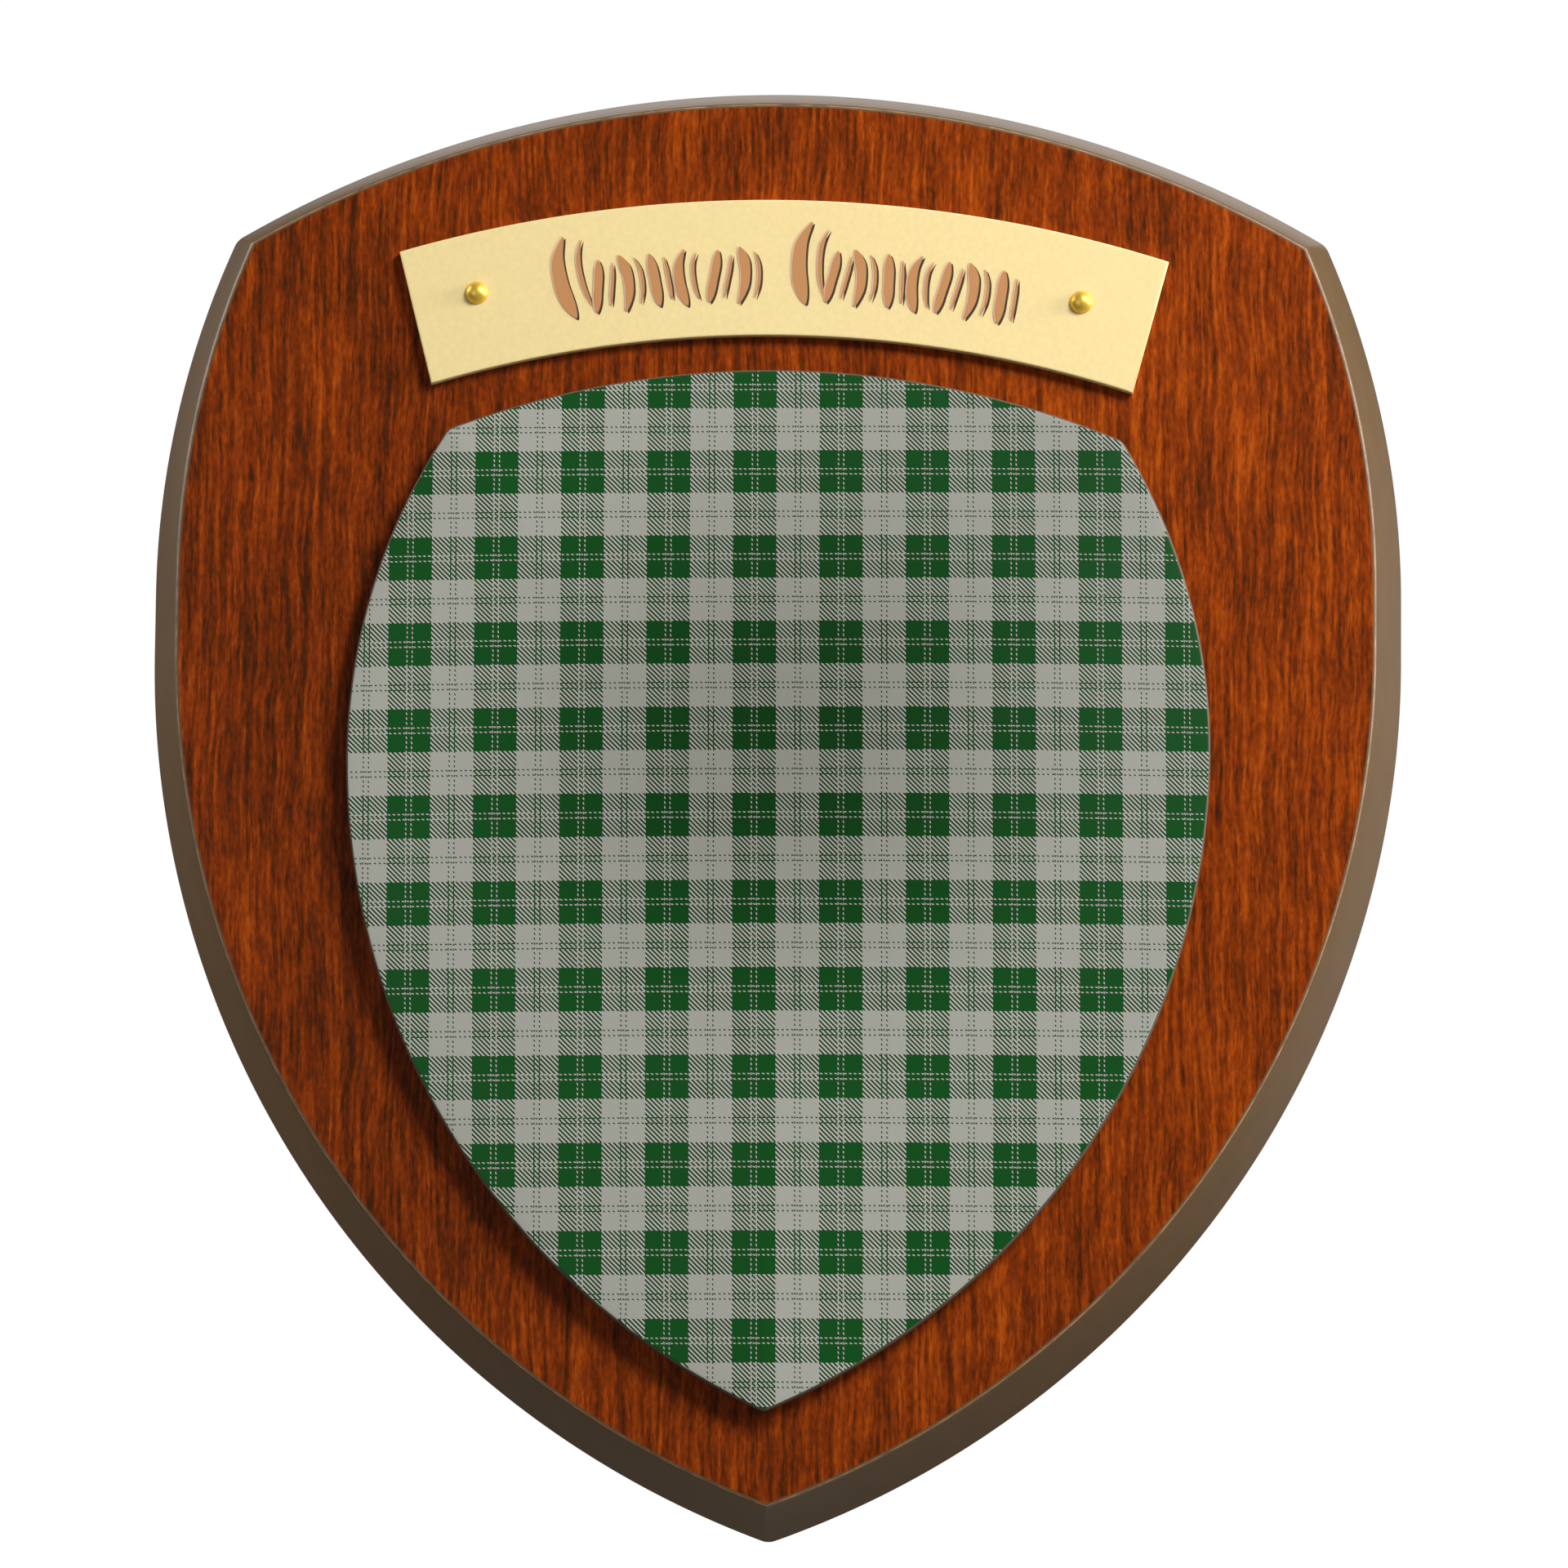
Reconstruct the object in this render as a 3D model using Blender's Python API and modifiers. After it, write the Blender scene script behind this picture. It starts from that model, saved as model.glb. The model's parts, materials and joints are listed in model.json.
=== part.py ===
"""Wooden wall plaque: a shield board with a domed tartan shield and a pinned brass nameplate.

The plaque is drawn lying on its back, with x to the right, y up the plaque and z out of its
face, and an empty stands it up against the wall. Upright, its back is the plane y = 0, its
face looks along -Y, and the origin is the centre of a screw that it hangs on.
"""
import math
from dataclasses import dataclass

import bmesh
import bpy

MM = 0.001
INCH = 0.0254

# Between two pieces that touch.
GAP = 0.3 * MM

# Board: 6 in wide and 7 in high, sawn with an edge that slopes in towards the face.
BOARD_WIDTH = 6 * INCH
BOARD_THICKNESS = 12.0 * MM
EDGE_SLOPE_INSET = 3.6 * MM
CROWN_ABOVE_SCREW = 25.0 * MM

# Keyhole slot in the back, for a screw with a head up to 9 mm across and a 4 to 5 mm shank.
ENTRY_DIAMETER = 10.0 * MM
SLOT_WIDTH = 5.0 * MM
HEAD_WAY_WIDTH = 9.6 * MM
SLOT_TRAVEL = 12.0 * MM
LIP = 2.5 * MM
HEAD_WAY_DEPTH = 4.5 * MM

# Domed tartan shield: set by hand a little to the right and turned a little clockwise.
PANEL_WIDTH = 104.0 * MM
PANEL_CROWN_BELOW_BOARD_CROWN = 37.0 * MM
PANEL_SHIFT = 0.55 * MM
PANEL_TURN = math.radians(0.7)
PANEL_WALL = 1.6 * MM
PANEL_EDGE_RADIUS = 0.9 * MM
PANEL_DOME = 2.9 * MM

# Nameplate: a strip cut from a ring, with ends that lean in a little less than its radius does.
PLATE_TOP_RADIUS = 158.8 * MM
PLATE_HEIGHT = 16.7 * MM
PLATE_UPPER_HALF_ANGLE = math.radians(17.1)
PLATE_LOWER_HALF_ANGLE = math.radians(17.4)
PLATE_THICKNESS = 1.0 * MM
PLATE_CROWN_BELOW_BOARD_CROWN = 15.8 * MM
PLATE_SHIFT = 0.7 * MM
PLATE_TURN = math.radians(0.45)

# Round-headed brass pins, driven in by hand near the ends of the nameplate.
PIN_HEAD_DIAMETER = 2.8 * MM
PIN_HEAD_HEIGHT = 1.0 * MM
PIN_SHANK_DIAMETER = 1.4 * MM
PIN_SHANK_LENGTH = 8.5 * MM
PIN_POINT_LENGTH = 1.6 * MM
# Each pin's angle round the nameplate's arc, and its height above the middle of the strip.
PIN_PLACES = {
    "pin_left": (math.radians(-14.2), 1.0 * MM),
    "pin_right": (math.radians(13.85), 0.6 * MM),
}


@dataclass(frozen=True)
class Shield:
    """A shield outline of arcs. Its widest line is y = 0, where the upper side arc ends."""

    half_width: float
    upper_radius: float
    straight: float
    lower_radius: float
    crown: float
    top_radius: float
    shoulder_radius: float
    tip_radius: float


BOARD = Shield(
    half_width=BOARD_WIDTH / 2,
    upper_radius=109.6 * MM,
    straight=7.6 * MM,
    lower_radius=114.3 * MM,
    crown=62.7 * MM,
    top_radius=129.6 * MM,
    shoulder_radius=2.6 * MM,
    tip_radius=2.6 * MM,
)
PANEL = Shield(
    half_width=PANEL_WIDTH / 2,
    upper_radius=72.5 * MM,
    straight=0.0,
    lower_radius=86.4 * MM,
    crown=46.7 * MM,
    top_radius=108.8 * MM,
    shoulder_radius=1.8 * MM,
    tip_radius=1.2 * MM,
)

# The least corner radius left where an inset outline has used its corner up.
LEAST_CORNER = 0.4 * MM


def arc(centre, radius, start, end, steps):
    """Points along an arc, both ends included."""
    points = []
    for step in range(steps + 1):
        angle = start + (end - start) * step / steps
        points.append((centre[0] + radius * math.cos(angle), centre[1] + radius * math.sin(angle)))
    return points


def circles_meet(centre_a, radius_a, centre_b, radius_b):
    """Where two circles cross, on the right."""
    dx = centre_b[0] - centre_a[0]
    dy = centre_b[1] - centre_a[1]
    distance = math.hypot(dx, dy)
    along = (radius_a**2 - radius_b**2 + distance**2) / (2 * distance)
    across = math.sqrt(radius_a**2 - along**2)
    foot_x = centre_a[0] + along * dx / distance
    foot_y = centre_a[1] + along * dy / distance
    left = (foot_x - across * dy / distance, foot_y + across * dx / distance)
    right = (foot_x + across * dy / distance, foot_y - across * dx / distance)
    return max(left, right)


def direction(centre, point):
    """Angle from a centre to a point."""
    return math.atan2(point[1] - centre[1], point[0] - centre[0])


def shield_outline(shield, inset=0.0):
    """Closed outline of a shield, clockwise from the crown, moved in by inset all round.

    Every inset gives the same number of points, so that outlines can be skinned together.
    """
    top_centre = (0.0, shield.crown - shield.top_radius)
    upper_centre = (shield.half_width - shield.upper_radius, 0.0)
    lower_centre = (shield.half_width - shield.lower_radius, -shield.straight)
    top_radius = shield.top_radius - inset
    upper_radius = shield.upper_radius - inset
    lower_radius = shield.lower_radius - inset
    shoulder = max(shield.shoulder_radius - inset, LEAST_CORNER)
    tip = max(shield.tip_radius - inset, LEAST_CORNER)

    shoulder_centre = circles_meet(
        top_centre, top_radius - shoulder, upper_centre, upper_radius - shoulder
    )
    top_end = direction(top_centre, shoulder_centre)
    upper_start = direction(upper_centre, shoulder_centre)
    reach = lower_radius - tip
    tip_centre = (0.0, lower_centre[1] - math.sqrt(reach**2 - lower_centre[0] ** 2))
    lower_end = direction(lower_centre, tip_centre)

    right = arc(top_centre, top_radius, math.pi / 2, top_end, 20)
    right += arc(shoulder_centre, shoulder, top_end, upper_start, 6)[1:]
    right += arc(upper_centre, upper_radius, upper_start, 0.0, 14)[1:]
    if shield.straight:
        right.append((shield.half_width - inset, -shield.straight))
    right += arc(lower_centre, lower_radius, 0.0, lower_end, 30)[1:]
    right += arc(tip_centre, tip, lower_end, -math.pi / 2, 4)[1:]
    left = [(-x, y) for x, y in reversed(right[1:-1])]
    return right + left


def stadium(width, length):
    """Round-ended slot outline, from a centre at the origin to one a length below it."""
    radius = width / 2
    upper_end = arc((0.0, 0.0), radius, 0.0, math.pi, 20)
    lower_end = arc((0.0, -length), radius, math.pi, 2 * math.pi, 20)
    return upper_end + lower_end


def ring_strip(top_radius, height, upper_half_angle, lower_half_angle):
    """Outline of a strip cut from a ring, with the crown of its upper edge at the origin."""
    centre = (0.0, -top_radius)
    middle = math.pi / 2
    upper = arc(centre, top_radius, middle - upper_half_angle, middle + upper_half_angle, 40)
    lower_radius = top_radius - height
    lower = arc(centre, lower_radius, middle + lower_half_angle, middle - lower_half_angle, 40)
    return upper + lower


def painted(name, colour, roughness, metallic=0.0):
    """A plain surface finish."""
    material = bpy.data.materials.new(name)
    material.use_nodes = True
    shader = material.node_tree.nodes["Principled BSDF"]
    shader.inputs["Base Color"].default_value = (*colour, 1.0)
    shader.inputs["Roughness"].default_value = roughness
    shader.inputs["Metallic"].default_value = metallic
    return material


def add_object(name, mesh, collection, parent):
    """Put a mesh in a collection, standing up with the plaque."""
    piece = bpy.data.objects.new(name, mesh)
    collection.objects.link(piece)
    piece.parent = parent
    return piece


def skinned(name, rings, collection, parent):
    """A closed solid over rings of equal length, given from the back to the front."""
    mesh = bpy.data.meshes.new(name)
    skin = bmesh.new()
    loops = [[skin.verts.new(point) for point in ring] for ring in rings]
    for lower, upper in zip(loops, loops[1:]):
        for here in range(len(lower)):
            after = (here + 1) % len(lower)
            skin.faces.new((lower[here], lower[after], upper[after], upper[here]))
    skin.faces.new(loops[0])
    skin.faces.new(loops[-1])
    bmesh.ops.recalc_face_normals(skin, faces=skin.faces)
    skin.to_mesh(mesh)
    skin.free()
    return add_object(name, mesh, collection, parent)


def cut_from_sheet(name, outline, back, front, collection, parent):
    """A flat piece of an outline, as a mesh, between two heights above the plaque's back."""
    curve = bpy.data.curves.new(name, "CURVE")
    curve.dimensions = "2D"
    curve.fill_mode = "BOTH"
    curve.extrude = (front - back) / 2
    spline = curve.splines.new("POLY")
    spline.points.add(len(outline) - 1)
    for point, (x, y) in zip(spline.points, outline):
        point.co = (x, y, 0.0, 1.0)
    spline.use_cyclic_u = True
    drawn = bpy.data.objects.new(name + "_outline", curve)
    collection.objects.link(drawn)
    evaluated = drawn.evaluated_get(bpy.context.evaluated_depsgraph_get())
    mesh = bpy.data.meshes.new_from_object(evaluated)
    mesh.name = name
    bpy.data.objects.remove(drawn)
    bpy.data.curves.remove(curve)

    solid = bmesh.new()
    solid.from_mesh(mesh)
    bmesh.ops.remove_doubles(solid, verts=solid.verts, dist=0.00001)
    bmesh.ops.translate(solid, verts=solid.verts, vec=(0.0, 0.0, (front + back) / 2))
    bmesh.ops.recalc_face_normals(solid, faces=solid.faces)
    solid.to_mesh(mesh)
    solid.free()
    return add_object(name, mesh, collection, parent)


def rod(name, diameter, back, front, collection, parent):
    """A round cutter between two heights above the plaque's back."""
    mesh = bpy.data.meshes.new(name)
    solid = bmesh.new()
    bmesh.ops.create_cone(
        solid,
        cap_ends=True,
        segments=32,
        radius1=diameter / 2,
        radius2=diameter / 2,
        depth=front - back,
    )
    bmesh.ops.translate(solid, verts=solid.verts, vec=(0.0, 0.0, (front + back) / 2))
    solid.to_mesh(mesh)
    solid.free()
    return add_object(name, mesh, collection, parent)


def cut(piece, cutter):
    """Take a cutter out of a piece."""
    modifier = piece.modifiers.new(cutter.name, "BOOLEAN")
    modifier.operation = "DIFFERENCE"
    modifier.solver = "EXACT"
    modifier.object = cutter
    cutter.hide_render = True
    cutter.display_type = "WIRE"


def at_height(outline, height):
    """An outline as a ring of points at one height above the back."""
    return [(x, y, height) for x, y in outline]


def make_board(parts, cutters, stand, wood):
    """The board, with the keyhole slot cut into its back."""
    back = at_height(shield_outline(BOARD), 0.0)
    face = at_height(shield_outline(BOARD, EDGE_SLOPE_INSET), BOARD_THICKNESS)
    board = skinned("plaque_board", [back, face], parts, stand)
    board.location.y = CROWN_ABOVE_SCREW - BOARD.crown
    board.data.materials.append(wood)

    below_back = -1.0 * MM
    head_way_front = LIP + HEAD_WAY_DEPTH
    entry = rod("entry_hole", ENTRY_DIAMETER, below_back, head_way_front + 0.2 * MM, cutters, stand)
    entry.location.y = -SLOT_TRAVEL
    slot = cut_from_sheet(
        "screw_slot", stadium(SLOT_WIDTH, SLOT_TRAVEL), below_back, LIP + 0.5 * MM, cutters, stand
    )
    head_way = cut_from_sheet(
        "head_way", stadium(HEAD_WAY_WIDTH, SLOT_TRAVEL), LIP, head_way_front, cutters, stand
    )
    for cutter in (entry, slot, head_way):
        cut(board, cutter)
    return board


def make_tartan_shield(parts, stand, print_finish):
    """The domed shield: an upright wall, a rounded edge and a shallow dome."""
    back = BOARD_THICKNESS + GAP
    rings = [at_height(shield_outline(PANEL), back)]
    edge_steps = 5
    for step in range(edge_steps + 1):
        angle = math.radians(84) * step / edge_steps
        inset = PANEL_EDGE_RADIUS * (1 - math.cos(angle))
        height = back + PANEL_WALL + PANEL_EDGE_RADIUS * math.sin(angle)
        rings.append(at_height(shield_outline(PANEL, inset), height))

    rim = rings[-1]
    rim_height = rim[0][2]
    middle_y = -PANEL.half_width * 0.25
    for share in (0.9, 0.78, 0.64, 0.48, 0.3, 0.12):
        height = rim_height + PANEL_DOME * (1 - share**2)
        rings.append([(x * share, middle_y + (y - middle_y) * share, height) for x, y, _ in rim])

    panel = skinned("tartan_shield", rings, parts, stand)
    panel.location.x = PANEL_SHIFT
    panel.location.y = CROWN_ABOVE_SCREW - PANEL_CROWN_BELOW_BOARD_CROWN - PANEL.crown
    panel.rotation_euler.z = -PANEL_TURN
    panel.data.materials.append(print_finish)
    return panel


def make_nameplate(parts, stand, brass):
    """The curved brass strip, lying on the face of the board."""
    outline = ring_strip(
        PLATE_TOP_RADIUS, PLATE_HEIGHT, PLATE_UPPER_HALF_ANGLE, PLATE_LOWER_HALF_ANGLE
    )
    back = BOARD_THICKNESS + GAP
    plate = cut_from_sheet("nameplate", outline, back, back + PLATE_THICKNESS, parts, stand)
    plate.location.x = PLATE_SHIFT
    plate.location.y = CROWN_ABOVE_SCREW - PLATE_CROWN_BELOW_BOARD_CROWN
    plate.rotation_euler.z = -PLATE_TURN
    plate.data.materials.append(brass)
    return plate


def pin_profile():
    """Half section of a pin about z, from the top of its head down to its point."""
    head_radius = PIN_HEAD_DIAMETER / 2
    shank_radius = PIN_SHANK_DIAMETER / 2
    dome_radius = (head_radius**2 + PIN_HEAD_HEIGHT**2) / (2 * PIN_HEAD_HEIGHT)
    dome_centre = PIN_HEAD_HEIGHT - dome_radius
    dome_angle = math.asin(head_radius / dome_radius)
    steps = 8
    profile = []
    for step in range(steps + 1):
        angle = dome_angle * step / steps
        profile.append((dome_radius * math.sin(angle), dome_centre + dome_radius * math.cos(angle)))
    profile.append((shank_radius, 0.0))
    profile.append((shank_radius, PIN_POINT_LENGTH - PIN_SHANK_LENGTH))
    profile.append((0.0, -PIN_SHANK_LENGTH))
    return profile


def make_pin(name, plate, board, parts, cutters, stand, brass):
    """One pin through the nameplate into the board."""
    mesh = bpy.data.meshes.new(name)
    half = bmesh.new()
    corners = [half.verts.new((x, 0.0, z)) for x, z in pin_profile()]
    for upper, lower in zip(corners, corners[1:]):
        half.edges.new((upper, lower))
    half.to_mesh(mesh)
    half.free()

    pin = add_object(name, mesh, parts, stand)
    turned = pin.modifiers.new("turned", "SCREW")
    turned.axis = "Z"
    turned.steps = 24
    turned.render_steps = 24
    turned.use_merge_vertices = True
    turned.merge_threshold = 0.00001
    turned.use_smooth_shade = True
    pin.data.materials.append(brass)

    angle_on_plate, above_middle = PIN_PLACES[name]
    radius = PLATE_TOP_RADIUS - PLATE_HEIGHT / 2 + above_middle
    angle = angle_on_plate + PLATE_TURN
    x = plate.location.x + radius * math.sin(angle) - PLATE_TOP_RADIUS * math.sin(PLATE_TURN)
    y = plate.location.y + radius * math.cos(angle) - PLATE_TOP_RADIUS * math.cos(PLATE_TURN)
    under_head = BOARD_THICKNESS + GAP + PLATE_THICKNESS + GAP
    pin.location = (x, y, under_head)

    hole_end = under_head - PIN_SHANK_LENGTH - GAP
    drill = rod(
        name + "_hole", PIN_SHANK_DIAMETER + 2 * GAP, hole_end, under_head + 2 * MM, cutters, stand
    )
    drill.location.x = x
    drill.location.y = y
    cut(plate, drill)
    cut(board, drill)
    return pin


def main():
    """Clear the scene and build the plaque."""
    for old in list(bpy.data.objects):
        bpy.data.objects.remove(old)
    scene = bpy.context.scene
    parts = bpy.data.collections.new("wall_plaque")
    cutters = bpy.data.collections.new("cutters")
    scene.collection.children.link(parts)
    scene.collection.children.link(cutters)

    stand = bpy.data.objects.new("upright", None)
    stand.rotation_euler.x = math.pi / 2
    parts.objects.link(stand)

    mahogany = painted("stained mahogany", (0.20, 0.045, 0.010), 0.38)
    tartan_print = painted("printed tartan", (0.19, 0.22, 0.17), 0.5)
    brass = painted("satin brass", (0.90, 0.74, 0.36), 0.35, metallic=1.0)

    board = make_board(parts, cutters, stand, mahogany)
    make_tartan_shield(parts, stand, tartan_print)
    plate = make_nameplate(parts, stand, brass)
    for name in PIN_PLACES:
        make_pin(name, plate, board, parts, cutters, stand, brass)


main()
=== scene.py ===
"""Wooden wall plaque, dressed for the picture.

A mahogany-faced shield board with a painted sloping edge carries a domed tartan shield and a
pale brass nameplate on two pins. Every piece is drawn lying on its back, with x to the right,
y up the plaque and z out of its face, and is then stood up into the row frame.
"""

import json
import logging
import math
from dataclasses import dataclass
from enum import Enum, IntEnum

import bmesh
import bpy
from bpy.types import Collection, ID, Material, Mesh, Node, NodeSocket, NodeTree, Object
from mathutils import Matrix, Vector

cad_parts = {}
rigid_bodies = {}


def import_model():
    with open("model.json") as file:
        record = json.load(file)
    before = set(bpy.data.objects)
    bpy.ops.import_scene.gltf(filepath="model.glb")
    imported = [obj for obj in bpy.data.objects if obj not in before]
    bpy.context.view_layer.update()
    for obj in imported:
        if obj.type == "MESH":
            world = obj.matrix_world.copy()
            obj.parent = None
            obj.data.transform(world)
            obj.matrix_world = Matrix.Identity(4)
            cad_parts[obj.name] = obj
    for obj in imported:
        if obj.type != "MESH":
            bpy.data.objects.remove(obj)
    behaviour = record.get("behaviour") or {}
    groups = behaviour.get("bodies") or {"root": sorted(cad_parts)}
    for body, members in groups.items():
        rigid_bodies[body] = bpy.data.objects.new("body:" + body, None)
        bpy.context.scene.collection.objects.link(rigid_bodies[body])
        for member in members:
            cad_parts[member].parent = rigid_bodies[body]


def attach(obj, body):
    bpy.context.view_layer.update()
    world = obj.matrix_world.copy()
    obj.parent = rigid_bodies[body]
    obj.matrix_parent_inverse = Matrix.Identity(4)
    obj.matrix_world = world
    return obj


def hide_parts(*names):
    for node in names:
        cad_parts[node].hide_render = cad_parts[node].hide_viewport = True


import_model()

LOG = logging.getLogger("wall_plaque")

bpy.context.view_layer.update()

MM = 0.001
INCH = 0.0254
Point = tuple[float, float]
Ring = list[tuple[float, float, float]]
Value = float | NodeSocket

# From lying on its back to standing against the wall: y goes up and z comes out of the face.
UPRIGHT = Matrix.Rotation(math.pi / 2, 4, "X")

BOARD_THICKNESS = 12.0 * MM
CROWN_ABOVE_SCREW = 25.0 * MM
# Between two pieces that touch, just enough to keep their faces apart.
SEAT = 0.02 * MM
# The solids stand this far off each other. Fronts keep their height when it is closed here.
SOLID_GAP = 0.3 * MM
WHITE = (1.0, 1.0, 1.0, 1.0)


# Colours and nodes


def hex_to_linear(text: str) -> tuple[float, float, float, float]:
    """Turn an sRGB hex colour to linear.

    Args:
        text: Six hex digits, with or without a leading hash.

    Returns:
        Linear red, green and blue, and an alpha of 1.
    """
    digits = text.lstrip("#")
    parts = []
    for start in (0, 2, 4):
        value = int(digits[start : start + 2], 16) / 255
        parts.append(value / 12.92 if value <= 0.04045 else ((value + 0.055) / 1.055) ** 2.4)
    return (*parts, 1.0)


def add_node(tree: NodeTree, kind: str, inputs: dict | None = None, **settings: object) -> Node:
    """Add a node, set or link its inputs, and set its own settings.

    Args:
        tree: The tree to add it to.
        kind: The node's type.
        inputs: Values or output sockets, by the input's name or number.
        settings: Attributes of the node.

    Returns:
        The new node.
    """
    node = tree.nodes.new(kind)
    for name, value in settings.items():
        setattr(node, name, value)
    for key, value in (inputs or {}).items():
        if isinstance(value, NodeSocket):
            tree.links.new(value, node.inputs[key])
        else:
            node.inputs[key].default_value = value
    return node


def math_node(tree: NodeTree, operation: str, *values: Value) -> NodeSocket:
    """Add a Math node on numbers or sockets, and give its result."""
    given = dict(enumerate(values))
    return add_node(tree, "ShaderNodeMath", given, operation=operation).outputs[0]


def vector_node(tree: NodeTree, operation: str, inputs: dict) -> Node:
    """Add a Vector Math node with these inputs."""
    return add_node(tree, "ShaderNodeVectorMath", inputs, operation=operation)


def axis_of(tree: NodeTree, vector: NodeSocket, axis: str) -> NodeSocket:
    """Take one axis, X, Y or Z, out of a vector."""
    return add_node(tree, "ShaderNodeSeparateXYZ", {"Vector": vector}).outputs[axis]


def noise_node(tree: NodeTree, place: NodeSocket, scale: float, detail: float) -> Node:
    """Add a noise texture with this scale and detail."""
    inputs = {"Vector": place, "Scale": scale, "Detail": detail}
    return add_node(tree, "ShaderNodeTexNoise", inputs)


def map_range(
    tree: NodeTree,
    value: Value,
    given: Point,
    wanted: Point = (0.0, 1.0),
    kind: str = "SMOOTHSTEP",
) -> NodeSocket:
    """Map a number from one range to another.

    Args:
        tree: The tree to add the node to.
        value: The number.
        given: The range it lies in.
        wanted: The range it is mapped to, held at its ends.
        kind: How it is mapped: SMOOTHSTEP or LINEAR.

    Returns:
        The mapped number.
    """
    inputs = {
        "Value": value,
        "From Min": given[0],
        "From Max": given[1],
        "To Min": wanted[0],
        "To Max": wanted[1],
    }
    return add_node(tree, "ShaderNodeMapRange", inputs, interpolation_type=kind).outputs[0]


def mix_node(tree: NodeTree, kind: str, share: Value, first: object, second: object) -> NodeSocket:
    """Blend two values.

    Args:
        tree: The tree to add the node to.
        kind: FLOAT for numbers or RGBA for colours.
        share: The share of the second one.
        first: The first one.
        second: The second one.

    Returns:
        The blend.
    """
    start, result = {"FLOAT": (2, 0), "RGBA": (6, 2)}[kind]
    inputs = {0: share, start: first, start + 1: second}
    return add_node(tree, "ShaderNodeMix", inputs, data_type=kind).outputs[result]


def new_material(name: str) -> tuple[Material, NodeTree, Node]:
    """Start a material.

    Args:
        name: The real material's name.

    Returns:
        The material, its node tree and its Principled shader.
    """
    material = bpy.data.materials.new(name)
    material.use_nodes = True
    tree = material.node_tree
    return material, tree, tree.nodes["Principled BSDF"]


def object_place(tree: NodeTree) -> NodeSocket:
    """The place on the object itself, in metres."""
    return add_node(tree, "ShaderNodeTexCoord").outputs["Object"]


def colour_by_ramp(
    tree: NodeTree,
    shader: Node,
    tone: NodeSocket,
    stops: list[tuple[float, tuple]],
) -> None:
    """Colour a shader by a tone, with a ramp of positions and their colours."""
    ramp = add_node(tree, "ShaderNodeValToRGB", {"Fac": tone})
    elements = ramp.color_ramp.elements
    while len(elements) > 1:
        elements.remove(elements[-1])
    elements[0].position, elements[0].color = stops[0]
    for position, colour in stops[1:]:
        elements.new(position).color = colour
    tree.links.new(ramp.outputs["Color"], shader.inputs["Base Color"])


def add_bump(
    tree: NodeTree,
    shader: Node,
    height: NodeSocket,
    strength: float,
    depth: float,
) -> None:
    """Roughen a shader's surface by a height, to this depth in metres."""
    inputs = {"Height": height, "Strength": strength, "Distance": depth}
    bump = add_node(tree, "ShaderNodeBump", inputs)
    tree.links.new(bump.outputs["Normal"], shader.inputs["Normal"])


def set_gloss(shader: Node, roughness: float, specular: float, metallic: float = 0.0) -> None:
    """Set how rough, how reflecting and how metallic a shader's surface is."""
    shader.inputs["Roughness"].default_value = roughness
    shader.inputs["Specular IOR Level"].default_value = specular
    shader.inputs["Metallic"].default_value = metallic


def link_object(name: str, data: ID) -> Object:
    """Make an object from its data and put it in the scene."""
    made = bpy.data.objects.new(name, data)
    bpy.context.scene.collection.objects.link(made)
    return made


# Outlines


def arc(centre: Point, radius: float, start: float, end: float, steps: int) -> list[Point]:
    """Points along an arc.

    Args:
        centre: Its centre.
        radius: Its radius.
        start: First angle, in radians.
        end: Last angle.
        steps: How many equal steps lie between them.

    Returns:
        The points, both ends included.
    """
    points = []
    for step in range(steps + 1):
        angle = start + (end - start) * step / steps
        points.append((centre[0] + radius * math.cos(angle), centre[1] + radius * math.sin(angle)))
    return points


def circles_meet(centre_a: Point, radius_a: float, centre_b: Point, radius_b: float) -> Point:
    """Find where two circles cross, on the right.

    Args:
        centre_a: Centre of the first circle.
        radius_a: Its radius.
        centre_b: Centre of the second circle.
        radius_b: Its radius.

    Returns:
        The crossing with the larger x.
    """
    dx = centre_b[0] - centre_a[0]
    dy = centre_b[1] - centre_a[1]
    distance = math.hypot(dx, dy)
    along = (radius_a**2 - radius_b**2 + distance**2) / (2 * distance)
    across = math.sqrt(radius_a**2 - along**2)
    foot = (centre_a[0] + along * dx / distance, centre_a[1] + along * dy / distance)
    one = (foot[0] - across * dy / distance, foot[1] + across * dx / distance)
    other = (foot[0] + across * dy / distance, foot[1] - across * dx / distance)
    return max(one, other)


def direction(centre: Point, point: Point) -> float:
    """Angle from a centre to a point."""
    return math.atan2(point[1] - centre[1], point[0] - centre[0])


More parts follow.
